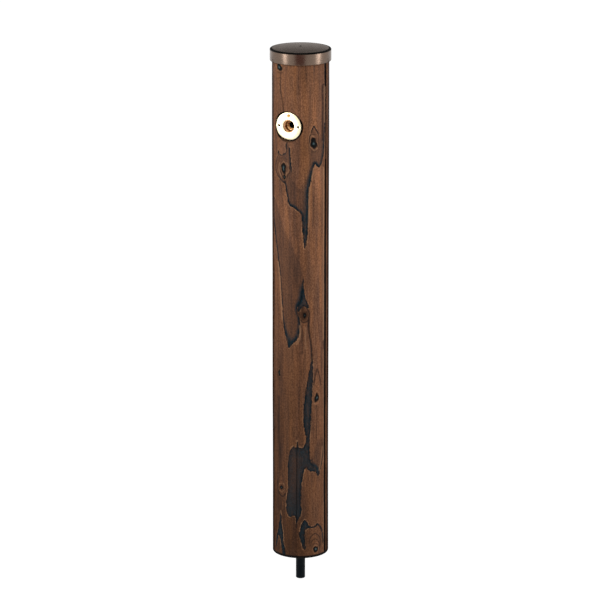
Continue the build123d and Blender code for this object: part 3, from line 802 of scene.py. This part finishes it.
dimple = ball_at(DIMPLE_ROUND, (0, -dimple_front, tap_height + MARK_RADIUS), 96, 96)
boolean(flange, holes + [dimple])
round_edges(flange, 0.35 * MM)
finished(flange, "nut", "flange_nut", 30)

# %% [markdown]
# The elbow is a bronze casting, machined at its neck. Its outside is four plain bodies joined by
# Boolean unions. The tap's thread is cut as a tap cuts it: a threaded plug is made, with the
# helix given to its rings of vertices, and taken out of the neck. A countersink leads into it.

# %% Model the elbow
THREAD_MINOR = 9.3155 * MM
THREAD_DEPTH = 1.162 * MM
THREAD_PITCH = 1.814 * MM
THREAD_LENGTH = 13 * MM
COUNTERSINK = 1.6 * MM
WATERWAY = 6.5 * MM
NECK_CHAMFER = 0.8 * MM
SOCKET_DEPTH = 15 * MM
BEND_SWELL = 0.3 * MM
BEND_ROOM = 0.6 * MM
INTO_BEND = 2 * MM
DROP_SLACK = 0.1 * MM


def threaded_plug(low, high):
    """A plug with the outside thread, along +Z, made of fine rings."""
    plug = cylinder("cut_thread", THREAD_MINOR, low, high, vertices=96)
    edit(plug)
    select_where("edges", lambda e: abs(e.verts[0].co.z - e.verts[1].co.z) > MM)
    bpy.ops.mesh.subdivide(number_cuts=int((high - low) / THREAD_PITCH * 8))
    done()
    for vertex in plug.data.vertices:
        turn = math.atan2(vertex.co.y, vertex.co.x) / (2 * math.pi)
        crest = 1 - abs(2 * ((vertex.co.z / THREAD_PITCH + turn) % 1) - 1)
        radius = THREAD_MINOR + THREAD_DEPTH * crest
        vertex.co.x = radius * math.cos(turn * 2 * math.pi)
        vertex.co.y = radius * math.sin(turn * 2 * math.pi)
    return place_by_axis(plug, "tap")


elbow = cylinder("threaded_elbow", NECK_RADIUS, 0, NECK_END, "tap", 128)
edit(elbow)
select_where("edges", lambda e: all(v.co.y < -NECK_END + CLOSE for v in e.verts))
bpy.ops.mesh.bevel(offset=NECK_CHAMFER, segments=2, affect="EDGES")
done()
# the balls are a little larger than the ways they join, and hold the ends of both inside them
corner, inlet = (0, 0, tap_height), elbow_low.z
barrel = cylinder("barrel", BARREL, inlet, tap_height, vertices=96)
nut_faces = cylinder("inlet_hexagon", elbow_high.x, inlet, inlet + HEXAGON_LENGTH, vertices=6)
boolean(elbow, [ball_at(BARREL + BEND_SWELL, corner), barrel, nut_faces], "UNION")
sink_start, sink_radius = NECK_END - COUNTERSINK, THREAD_MINOR + COUNTERSINK
mouth = turned("cut_mouth", [(0, sink_start), (THREAD_MINOR, sink_start), (sink_radius, NECK_END),
                             (sink_radius, NECK_END + MM), (0, NECK_END + MM)], axis="tap", steps=96)
boolean(elbow, [mouth, threaded_plug(NECK_END - THREAD_LENGTH, NECK_END + 1.2 * MM),
                ball_at(WATERWAY + BEND_ROOM, corner, 48, 24),
                cylinder("cut_way", WATERWAY, -INTO_BEND, NECK_END + MM, "tap", 64),
                cylinder("cut_drop", WATERWAY - DROP_SLACK, inlet - MM, tap_height + INTO_BEND, vertices=60),
                cylinder("cut_inlet", THREAD_MINOR, inlet - MM, inlet + SOCKET_DEPTH, vertices=64)])
finished(elbow, "post", "tap_elbow", 30)

# %% [markdown]
# The water pipe is an extruded tube, cut square and chamfered so that it slides into a fitting.
# A ring scored round it shows how far it has to go in.

# %% Model the pipe
PIPE_BORE, PIPE_CHAMFER = 6.5 * MM, 1 * MM
SCORE_DEPTH, SCORE_WIDTH, SCORE_SLOPE = 0.3 * MM, 1 * MM, 0.15 * MM
pipe_radius, pipe_end = pipe_high.x, pipe_low.z
score_low = pipe_end + 26 * MM
score_high = score_low + SCORE_WIDTH
pipe = turned("water_pipe", [
    (PIPE_BORE, pipe_end), (pipe_radius - PIPE_CHAMFER, pipe_end), (pipe_radius, pipe_end + PIPE_CHAMFER),
    (pipe_radius, score_low), (pipe_radius - SCORE_DEPTH, score_low + SCORE_SLOPE),
    (pipe_radius - SCORE_DEPTH, score_high - SCORE_SLOPE), (pipe_radius, score_high),
    (pipe_radius, pipe_high.z), (PIPE_BORE, pipe_high.z)], steps=96)
round_edges(pipe, 0.2 * MM, 50)
finished(pipe, "post", "supply_pipe", 30)

# %% [markdown]
# The wood's material reads the drawing from the vertices. Streaks of brown run up the log as
# stretched noise, pushed aside by the knots. Char is mixed in where the signed distance says
# inside, with a little noise on the distance so that its edge is ragged at the size of fibres.
# It is darkest right behind its edge, where the late wood is hardest.

# %% Charred and brushed cedar
smooth = {"interpolation_type": "SMOOTHSTEP"}
times, plus, times_plus = [{"operation": name} for name in ("MULTIPLY", "ADD", "MULTIPLY_ADD")]
two_colours = {"data_type": "RGBA", "out": 2}


def grain(tree, across, along, detail=2.0, place=None):
    """Noise stretched up the piece, with features that are so many millimetres wide and long."""
    scale = (1 / (across * MM), 1 / (across * MM), 1 / (along * MM))
    place = place or add(tree, "TexCoord", out=3)
    return add(tree, "TexNoise", {"Vector": add(tree, "Mapping", {"Vector": place, "Scale": scale}),
                                  "Scale": 1.0, "Detail": detail})


def charred_cedar():
    """Softwood charred, brushed and oiled: streaky brown with a satin skin, and blue-black char
    that has crisp outer edges, which is what tells the eye that the log was burnt by hand."""
    material, tree, shader = new_material("charred_brushed_cedar", IOR=1.45, Specular_IOR_Level=0.07)
    edge, tone, line, core, ring, joint, side, tone_and_painted_light = [
        add(tree, "Attribute", attribute_name=name, out=2) for name in
        ("char_edge", "char_tone", "crack", "knot_core", "knot_ring", "joint", "silhouette_shade", "tone_and_painted_light")]
    place = add(tree, "TexCoord", out=3)
    bent = add(tree, "VectorMath", (place, add(tree, "Attribute", attribute_name="bend", out=1)),
               operation="SUBTRACT")

    # cedar: broad bands of heart and sap wood, then fibres, then the pores that brushing opens
    bands = add(tree, "ValToRGB", (grain(tree, 15, 320, 3, bent),), [
        (0.32, "#5b3c2b"), (0.45, "#664533"), (0.56, "#744e37"), (0.70, "#85593b")])
    veins = add(tree, "ValToRGB", (grain(tree, 8, 80, 3, bent),), [(0.36, "#543c30"), (0.64, "#7f5336")])
    wood = add(tree, "Mix", {0: 0.45, 6: bands, 7: veins}, **two_colours)
    fibre = add(tree, "MapRange", (grain(tree, 1.7, 50, 3, bent), 0.34, 0.64, 0.84, 1.13), **smooth)
    pore = add(tree, "MapRange", (grain(tree, 2.0, 3.2, 1, bent), 0.30, 0.70, 0.72, 1.30), **smooth)
    # the level carries the broad places' painted light and shade as well as the fibres and pores
    level = add(tree, "Math", (add(tree, "Math", (fibre, pore), **times), tone_and_painted_light), **times)
    wood = add(tree, "VectorMath", {0: wood, 3: level}, operation="SCALE")

    # char: a smoky brown inside each figure, a pale line outside it, and blue-black at its edge
    ragged = add(tree, "MapRange", (grain(tree, 1.7, 7, 3, bent), 0.28, 0.72, -1.1, 1.1), **smooth)
    edge = add(tree, "Math", (edge, ragged), **plus)
    smoke = add(tree, "MapRange", (edge, 0.0, 5.0, 0.0, 0.36), **smooth)
    charred = add(tree, "MapRange", (edge, -1.3, -0.2), **smooth)
    outside = add(tree, "MapRange", (edge, -2.8, -1.3), **smooth)
    rim = add(tree, "Math", (add(tree, "Math", (outside, tone), **times),
                             add(tree, "Math", (1.0, charred), operation="SUBTRACT")), **times)
    brushed = add(tree, "MapRange", (grain(tree, 6, 40, 1), 0.40, 0.60, 0.05, 0.6))
    rim = add(tree, "Math", (rim, brushed), **times)
    depth = add(tree, "Math", (edge, 0.12, add(tree, "Math", (pore, 0.25), **times)), **times_plus)
    char = add(tree, "ValToRGB", (depth,), [(0.18, "#040e13"), (0.45, "#0a1a21"), (0.9, "#16252b")])
    speckle = add(tree, "MapRange", (grain(tree, 1.6, 2.2, 2), 0.30, 0.70, 0.45, 1.60), **smooth)
    char = add(tree, "VectorMath", {0: char, 3: speckle}, operation="SCALE")
    patchy = add(tree, "MapRange", (grain(tree, 3.5, 11, 3, bent), 0.30, 0.52, 0.72, 1.0), **smooth)
    charred = add(tree, "Math", (add(tree, "Math", (charred, tone), **times), patchy), **times)
    broken = add(tree, "MapRange", (grain(tree, 2.0, 6, 2), 0.32, 0.55, 0.6, 1.0), **smooth)
    burnt_line = add(tree, "Math", (add(tree, "MapRange", (line, 0.0, 0.95)), broken), **times)
    pale_line = add(tree, "Math", (add(tree, "MapRange", (line, 0.0, -1.0)), broken), **times)

    # knots: a grey heart, a black core, a brown collar and faint rings of wood that flowed round
    core = add(tree, "Math", (ragged, 0.14, core), **times_plus)
    ring = add(tree, "Math", (ragged, 0.06, ring), **times_plus)
    wave = add(tree, "Math", (add(tree, "Math", (core, 13.0), **times),), operation="SINE")
    faint = add(tree, "Math", (wave, add(tree, "MapRange", (core, 1.2, 2.6, 0.28, 0.0))), **times)
    heart = add(tree, "ValToRGB", (add(tree, "Math", (core, 0.5), **times),), [
        (0.0, "#566464"), (0.13, "#2c3a3c"), (0.22, "#060606"), (0.40, "#040404"), (0.50, "#20150f"),
        (0.60, "#3d2819")])
    knot = add(tree, "MapRange", (core, 1.32, 0.95), **smooth)
    band = add(tree, "Math", (add(tree, "MapRange", (ring, 0.78, 0.95), **smooth),
                              add(tree, "MapRange", (ring, 1.10, 0.98), **smooth)), **times)
    brushed = add(tree, "MapRange", (grain(tree, 5, 9, 1), 0.40, 0.62, 0.1, 0.6))
    band = add(tree, "Math", (band, brushed), **times)

    # painted shade down both sides of the outline, the saw joint, a near-black band round the foot, painted
    # shade in the tap's seat, and the sawn ends
    torn = add(tree, "Math", (grain(tree, 3, 90, 3), 1.4, -0.7), **times_plus)
    side = add(tree, "MapRange", (add(tree, "Math", (side, torn), **plus), 0.25, 0.75, 0.0, 0.93), **smooth)
    joint = add(tree, "MapRange", (joint, 0.02, 0.25), **smooth)
    apart = add(tree, "SeparateXYZ", (place,)).node.outputs
    # a near-black band round the bottom 4 to 6 mm of the log
    foot = add(tree, "MapRange", (apart[2], 4.2 * MM, 6.2 * MM, 0.98, 0.0), **smooth)
    # painted shade: the counterbore round the flange on the front half, and the holes inside it, are near
    # black
    from_tap = add(tree, "VectorMath", (add(tree, "VectorMath", (place, (1, 0, 1)), **times),
                                        (0, 0, tap_height)), operation="DISTANCE", out=1)
    seat_shade = add(tree, "MapRange", (from_tap, seat_radius + 0.2 * MM, seat_radius + 1.6 * MM, 1.0, 0.0),
               **smooth)
    seat_shade = add(tree, "Math", (seat_shade, add(tree, "Math", (apart[1], 0.0), operation="LESS_THAN")), **times)
    facing = add(tree, "SeparateXYZ", (add(tree, "TexCoord", out=1),), out=2)
    heart_place = add(tree, "Mapping", {"Vector": place, "Location": (-9 * MM, 6 * MM, 0)})
    rings = add(tree, "TexWave", {"Vector": heart_place, "Scale": 1 / (9 * MM), "Distortion": 1.2,
                                  "Detail": 2.0}, wave_type="RINGS", rings_direction="Z")
    sawn = add(tree, "ValToRGB", (rings,), [(0.2, "#6d4f38"), (0.7, "#54392a"), (0.95, "#33241c")])
    flat = add(tree, "MapRange", (add(tree, "Math", (facing,), operation="ABSOLUTE"), 0.75, 0.9), **smooth)

    # every layer lies over the one before it
    for cover, paint in (
            (smoke, linear("#2c2220")), (rim, linear("#ad805d")), (charred, char),
            (pale_line, linear("#a2795a")), (burnt_line, linear("#131213")),
            (faint, linear("#241c19")), (knot, heart), (band, linear("#9a7152")),
            # painted shade: the near-black colour down the outline's sides, here and in the tap's seat below
            (side, linear("#1d0a04")), (joint, linear("#060303")), (foot, linear("#050303")),
            (seat_shade, linear("#080504")), (flat, sawn)):
        wood = add(tree, "Mix", {0: cover, 6: wood, 7: paint}, **two_colours)
    satin = add(tree, "MapRange", (grain(tree, 4, 60, 2), 0.3, 0.7, 0.45, 0.62))
    satin = add(tree, "Math", (charred, 0.10, satin), **times_plus)
    link_skin(tree, shader, wood, satin, 0.4, 0.3, grain(tree, 1.0, 30, 3, bent))
    return material


def dress(material, *targets):
    """Gives a material to pieces or to nodes of the construction model."""
    targets = [bpy.data.objects[target] if isinstance(target, str) else target for target in targets]
    for target in targets:
        target.data.materials.clear()
        target.data.materials.append(material)
    print(f"{material.name} on {', '.join(target.name for target in targets)}")


dress(charred_cedar(), *post_halves)

# %% [markdown]
# The cap is sprayed with a bronze-brown metallic lacquer, semi-gloss. The flange is brass turned
# on a lathe, and the elbow is bronze, the same in a redder and duller skin. Each is a metal with
# a fine pattern of a real size. Painted shade in their hollows and a painted highlight in the
# elbow's bore are drawn by position.

# %% Paint, brass and bronze
def bronze_lacquer():
    """Metal flakes in lacquer: wide soft highlights on the skirt, and a painted dark reflection
    along the shoulder, a near-black line with a rougher skin."""
    material, tree, shader = new_material("sprayed_bronze_lacquer", Metallic=0.9)
    flakes = grain(tree, 0.8, 0.8, 1.0)
    colour = add(tree, "ValToRGB", (flakes,), [(0.35, "#67564b"), (0.65, "#716053")])
    place = add(tree, "TexCoord", out=3)
    out_from_axis = add(tree, "VectorMath", (add(tree, "VectorMath", (place, (1, 1, 0)), **times),),
                        operation="LENGTH", out=1)
    # painted reflection: a near-black line along the outermost top of the shoulder
    outermost = add(tree, "MapRange", (out_from_axis, cap_radius - 5.0 * MM, cap_radius - 4.0 * MM), **smooth)
    height = add(tree, "SeparateXYZ", (place,), out=2)
    topmost = add(tree, "MapRange", (height, rim_height - 2.6 * MM, rim_height - 1.8 * MM), **smooth)
    shoulder_dark_reflection = add(tree, "Math", (outermost, topmost), **times)
    colour = add(tree, "Mix", {0: shoulder_dark_reflection, 6: colour, 7: linear("#030201")}, **two_colours)
    satin = add(tree, "MapRange", (grain(tree, 12, 12), 0.3, 0.7, 0.25, 0.30))
    satin = add(tree, "Math", (shoulder_dark_reflection, 0.3, satin), **times_plus)
    link_skin(tree, shader, colour, satin, 0.02, 0.05, grain(tree, 3, 3, 1))
    return material


def turned_metal(name, light, dark, ring_width, rough, painted_marks):
    """Lathe rings round the tap's axis, which stretch each highlight, and a little tarnish. A
    mark paints shade or a highlight; it is round, lies between two depths, and has a colour and a
    roughness of its own."""
    material, tree, shader = new_material(name, Metallic=1.0)
    place = add(tree, "TexCoord", out=3)
    centred = add(tree, "Mapping", {"Vector": place, "Location": (0, 0, -tap_height)})
    rings = add(tree, "TexWave", {"Vector": centred, "Scale": 1 / (ring_width * MM) / 20, "Distortion": 0.4},
                wave_type="RINGS", rings_direction="Y", out=1)
    tarnish = grain(tree, 9, 9, 3)
    dulled = add(tree, "MapRange", (tarnish, 0.35, 0.7))
    colour = add(tree, "Mix", {0: dulled, 6: linear(light), 7: linear(dark)}, **two_colours)
    polish = add(tree, "MapRange", (tarnish, 0.3, 0.7, rough, rough + 0.08))
    flat = add(tree, "VectorMath", (place, (1, 0, 1)), **times)
    depth = add(tree, "SeparateXYZ", (place,), out=1)
    for (x, z), radius, (front, back), paint, roughness in painted_marks:
        away = add(tree, "VectorMath", (flat, (x, 0, tap_height + z)), operation="DISTANCE", out=1)
        mark = add(tree, "MapRange", (away, radius, radius - 0.3 * MM), **smooth)
        mark = add(tree, "Math", (mark, add(tree, "MapRange", (depth, -front, 0.2 * MM - front))), **times)
        mark = add(tree, "Math", (mark, add(tree, "MapRange", (depth, -back, -0.2 * MM - back))), **times)
        colour = add(tree, "Mix", {0: mark, 6: colour, 7: linear(paint)}, **two_colours)
        polish = add(tree, "Mix", {0: mark, 2: polish, 3: roughness})
    link_skin(tree, shader, colour, polish, 0.12, 0.03, rings)
    return material


plate = (flange_face + MM, flange_back - MM)
thread_top, thread_stop = NECK_END - COUNTERSINK, NECK_END - THREAD_LENGTH
# painted shade: the dimple and a ring round it are tan, and the walls of the two pin holes near black
face_painted_shade = [((0, MARK_RADIUS), 3.6 * MM, plate, "#bd9058", 0.42)]
face_painted_shade += [((x, 0), 2.6 * MM, plate, "#0b0805", 0.6) for x in (MARK_RADIUS, -MARK_RADIUS)]
# painted shade and a painted highlight: the thread is painted browner than the face, its innermost turns
# carry a painted highlight, and the waterway is painted dark
THREAD_PAINT_RADIUS = 10.9 * MM
bore_painted_light = [((0, 0), THREAD_PAINT_RADIUS, (thread_top, 0), "#5c300f", 0.35),
              ((0, 0), THREAD_PAINT_RADIUS, (thread_stop + 4 * MM, thread_stop - 0.4 * MM), "#ffd699", 0.5),
              ((0, 0), WATERWAY + 0.3 * MM, (thread_stop - 0.1 * MM, -BARREL), "#070302", 0.6)]
dress(bronze_lacquer(), cap)
dress(turned_metal("turned_brass", "#f8eccd", "#f1deb4", 0.5, 0.22, face_painted_shade), flange, "elbow_locknut")
dress(turned_metal("machined_bronze", "#d9a87e", "#a87446", 0.6, 0.30, bore_painted_light), elbow)

# %% [markdown]
# The rest are plain shop materials: dark polyethylene with the fine lines of extrusion, black
# rubber with a dusty bloom, closed-cell foam, zinc-plated steel and oiled softwood plugs. They
# differ in two near colours, the size of their grain, and how evenly they shine.

# %% Plastic, rubber, foam, steel and plug wood
def plain(name, light, dark, across, along, rough, bump=0.1, **constants):
    """A material of two near colours in a grain of a size in millimetres."""
    material, tree, shader = new_material(name, **constants)
    noise = grain(tree, across, along, 3)
    link_skin(tree, shader, add(tree, "ValToRGB", (noise,), [(0.35, dark), (0.65, light)]),
              add(tree, "MapRange", (noise, 0.3, 0.7, *rough)), bump, 0.1, noise)
    return material


# dark plastic with faint lines along it, from the die that it was drawn through
dress(plain("extruded_polyethylene", "#0a1319", "#04080b", 0.8, 48, (0.30, 0.42), 0.15, IOR=1.5,
            Specular_IOR_Level=0.06), pipe, "pipe_adapter")
# rubber is matt and never quite black, because its bloom scatters light
dress(plain("moulded_rubber", "#1c1c1c", "#121212", 1.5, 1.5, (0.62, 0.8), IOR=1.52),
      "flange_gasket", "pipe_bush")
# foam shows its cells as a rough skin
dress(plain("closed_cell_foam", "#4a4a4d", "#35353a", 0.7, 0.7, (0.85, 0.95), 0.6, IOR=1.45),
      "foam_sleeve")
# zinc plate is a cool grey metal with small dull clouds
dress(plain("zinc_plated_steel", "#c9cacb", "#a9adb0", 2.0, 2.0, (0.28, 0.4), Metallic=1.0),
      "joining_screws", "locknut_washer")
# blackened steel keeps a brown warmth under its oxide
dress(plain("blackened_steel", "#3a322d", "#29231f", 1.0, 1.0, (0.35, 0.5), Metallic=0.9), cap_screw)
# the plugs' grain runs up the post, as the log's does
dress(plain("oiled_plug_wood", "#8f6846", "#6c4a30", 1.4, 34, (0.5, 0.62), 0.3, IOR=1.45),
      "screw_plugs", "core_plug")

# %% [markdown]
# A pale floor and a white surround light the post as a product studio does. Two tall soft boxes
# stand left and right, and a smaller one above the camera lights the head more than the foot.
# Cards that only mirrored rays can see keep the white surround out of the places where the real
# studio was dark: in front, which the cap shows as a dark stripe, overhead and behind, which
# its top shows, and low behind the post, which darkens the edges of its outline.

# %% Floor and world
floor_height = pipe_low.z - 0.5 * MM
deselect_all()
bpy.ops.mesh.primitive_plane_add(size=40, location=(0, 0, floor_height))
floor = bpy.context.active_object
floor.name = "studio_floor"


def show(tree, share, first, second):
    """Sends a mix of two shaders to a material's surface."""
    output = next(node for node in tree.nodes if node.type == "OUTPUT_MATERIAL")
    tree.links.new(add(tree, "MixShader", (share, first, second)), output.inputs["Surface"])


def seen_by_eye(tree):
    """One for a ray that shows a thing as it looks: straight, mirrored or through glass."""
    path = add(tree, "LightPath").node.outputs
    first = add(tree, "Math", (path["Is Camera Ray"], path["Is Glossy Ray"]), operation="MAXIMUM")
    return add(tree, "Math", (first, path["Is Transmission Ray"]), operation="MAXIMUM")


floor_paint, tree, shader = new_material("pale_floor_paint", Base_Color=linear("#d0d0d0"), Roughness=0.9)
glow = add(tree, "Emission", {"Color": (1, 1, 1, 1), "Strength": 1.17})
show(tree, add(tree, "Math", (seen_by_eye(tree), 0.86), **times), shader.outputs[0], glow)
floor.data.materials.append(floor_paint)

world = bpy.data.worlds.new("studio_world")
bpy.context.scene.world = world
world.use_nodes = True
tree = world.node_tree
tree.nodes.clear()
dim = add(tree, "Background", {"Color": (1, 1, 1, 1), "Strength": 0.45})
white = add(tree, "Background", {"Color": (1, 1, 1, 1), "Strength": 1.0})
add(tree, "OutputWorld", {"Surface": add(tree, "MixShader", (seen_by_eye(tree), dim, white))})


# %% Cards
def bearing(turn, distance, height):
    """A place at a distance from the post, turned from the camera's direction."""
    angle = view_azimuth + math.radians(turn)
    return Vector((math.sin(angle) * distance, -math.cos(angle) * distance, height))


def card(name, colour, turn, distance, height, size, flat=False):
    """A card that only mirrored rays see, upright and facing the post, or lying flat."""
    paint, tree, shader = new_material(name + "_card", Base_Color=linear(colour), Roughness=1.0)
    tone = add(tree, "Emission", {"Color": linear(colour), "Strength": 1.0})
    mirrored = add(tree, "LightPath").node.outputs["Is Glossy Ray"]
    show(tree, mirrored, add(tree, "BsdfTransparent"), tone)
    deselect_all()
    bpy.ops.mesh.primitive_plane_add(size=1, location=bearing(turn, distance, height))
    made = bpy.context.active_object
    made.name = name
    made.scale = (*size, 1)
    made.rotation_euler = (0 if flat else math.pi / 2, 0, view_azimuth + math.radians(turn))
    bpy.ops.object.transform_apply(location=True, rotation=True, scale=True)
    made.data.materials.append(paint)
    print(f"{name} card: {colour}, {distance} m away")


card("front", "#7a2a18", -2, 1.6, 0.60, (1.10, 1.6))
card("overhead", "#1a1715", 0, 0.3, 2.4, (3.4, 3.4), flat=True)
card("behind", "#807d7b", 180, 1.7, 1.99, (3.0, 1.08))
card("behind_low", "#bdb8b4", 180, 1.7, 1.21, (3.0, 0.48))
card("backdrop", "#150d09", 180, 0.75, 0.31, (2.2, 0.74))
card("backdrop_low", "#150d09", 180, 0.40, floor_height + 4 * MM, (2.2, 0.70), flat=True)


# %% Soft boxes
def soft_box(name, turn, distance, height, size, power, aim=0.60):
    """An area light that faces the post, turned from the camera's direction."""
    data = bpy.data.lights.new(name, "AREA")
    data.shape = "RECTANGLE"
    data.size, data.size_y = size
    data.energy = power
    lamp = bpy.data.objects.new(name, data)
    bpy.context.scene.collection.objects.link(lamp)
    lamp.location = bearing(turn, distance, height)
    lamp.rotation_euler = (Vector((0, 0, aim)) - lamp.location).to_track_quat("-Z", "Y").to_euler()
    lamp.visible_camera = False
    print(f"{name}: {power} W, {turn} degrees round from the camera")


soft_box("left_soft_box", -60, 2.2, 1.05, (0.5, 2.3), 22)
soft_box("right_soft_box", 71, 2.2, 1.05, (0.5, 2.3), 25)
soft_box("head_soft_box", -28, 1.2, 1.75, (0.7, 0.6), 9, 0.90)

# %% Finish
bpy.context.scene.view_settings.view_transform = "Standard"
